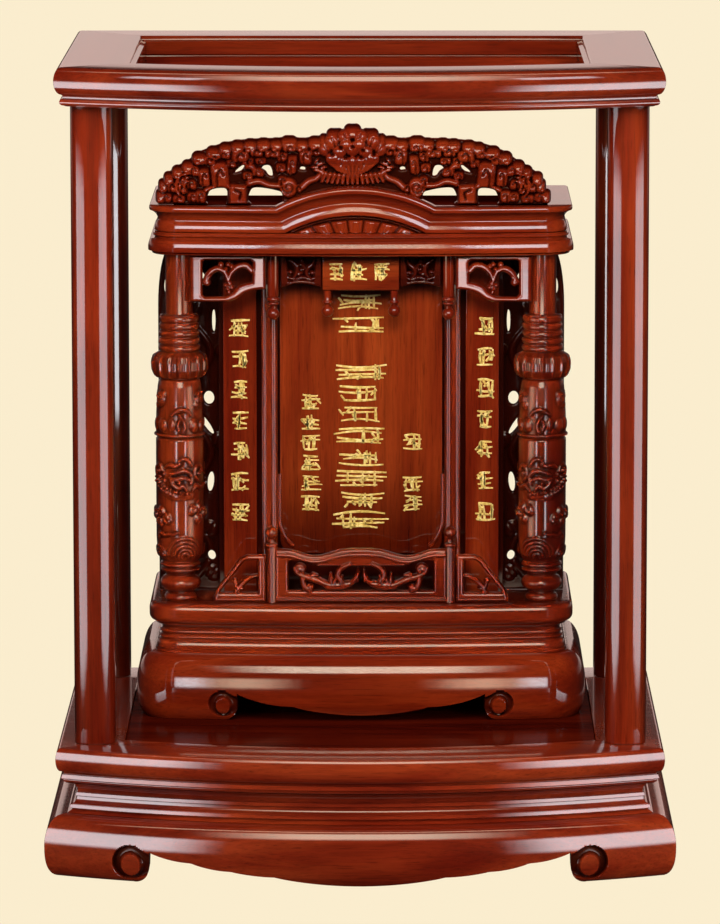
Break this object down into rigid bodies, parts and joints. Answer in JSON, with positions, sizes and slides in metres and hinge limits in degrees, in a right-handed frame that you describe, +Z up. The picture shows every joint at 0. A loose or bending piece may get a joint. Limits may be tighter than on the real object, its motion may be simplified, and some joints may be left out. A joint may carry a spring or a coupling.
{
  "type": "ancestor shrine",
  "caption": "Carved ancestor tablet shrine with columns, cornice and pierced crown, standing in an open bow-fronted case of red lacquered wood on scrolled feet.",
  "frame": {"origin": "centre of the bounding box at the level of the undersides of the feet", "axes": "+Z up; the bowed front faces -Y; +X to the right seen from the front"},
  "size_m": [0.4246, 0.3556, 0.545],
  "materials": {
    "lacquered_wood": "red-brown hardwood with a clear gloss lacquer, fine dark grain",
    "shadowed_wood": "darker red-brown hardwood, gloss lacquer",
    "plaque_wood": "brighter orange-red hardwood, gloss lacquer",
    "gold_leaf": "gilded strokes, satin"
  },
  "bodies": {
    "root": {"arch_fan": "plaque_wood", "back_board": "shadowed_wood", "balustrade_bracket_left": "lacquered_wood", "balustrade_bracket_right": "lacquered_wood", "balustrade_panel": "lacquered_wood", "balustrade_post_left": "lacquered_wood", "balustrade_post_right": "lacquered_wood", "board_rail_left": "lacquered_wood", "board_rail_right": "lacquered_wood", "case_floor_panel": "shadowed_wood", "case_platform_rail_back": "lacquered_wood", "case_platform_rail_front": "lacquered_wood", "case_platform_rail_left": "lacquered_wood", "case_platform_rail_right": "lacquered_wood", "case_post_back_left": "lacquered_wood", "case_post_back_right": "lacquered_wood", "case_post_front_left": "lacquered_wood", "case_post_front_right": "lacquered_wood", "case_skirt_back": "lacquered_wood", "case_skirt_front": "lacquered_wood", "case_skirt_left": "lacquered_wood", "case_skirt_right": "lacquered_wood", "case_top_rail_back": "lacquered_wood", "case_top_rail_front": "lacquered_wood", "case_top_rail_left": "lacquered_wood", "case_top_rail_right": "lacquered_wood", "case_waist_moulding_back": "shadowed_wood", "case_waist_moulding_front": "shadowed_wood", "case_waist_moulding_left": "shadowed_wood", "case_waist_moulding_right": "shadowed_wood", "column_left": "lacquered_wood", "column_right": "lacquered_wood", "corner_bracket_left": "lacquered_wood", "corner_bracket_right": "lacquered_wood", "cornice_lower_member": "lacquered_wood", "cornice_top_board": "lacquered_wood", "cornice_upper_moulding": "lacquered_wood", "couplet_board_left": "lacquered_wood", "couplet_board_right": "lacquered_wood", "crown_carving": "lacquered_wood", "name_board": "lacquered_wood", "pendant_left": "lacquered_wood", "pendant_right": "lacquered_wood", "pierced_panel_left": "shadowed_wood", "pierced_panel_right": "shadowed_wood", "plaque": "plaque_wood", "plaque_pendant_left": "lacquered_wood", "plaque_pendant_right": "lacquered_wood", "side_fretwork_left": "shadowed_wood", "side_fretwork_right": "shadowed_wood", "tablet_skirt": "lacquered_wood", "tablet_slab": "lacquered_wood", "tablet_waist": "lacquered_wood"}
  },
  "joints": []
}
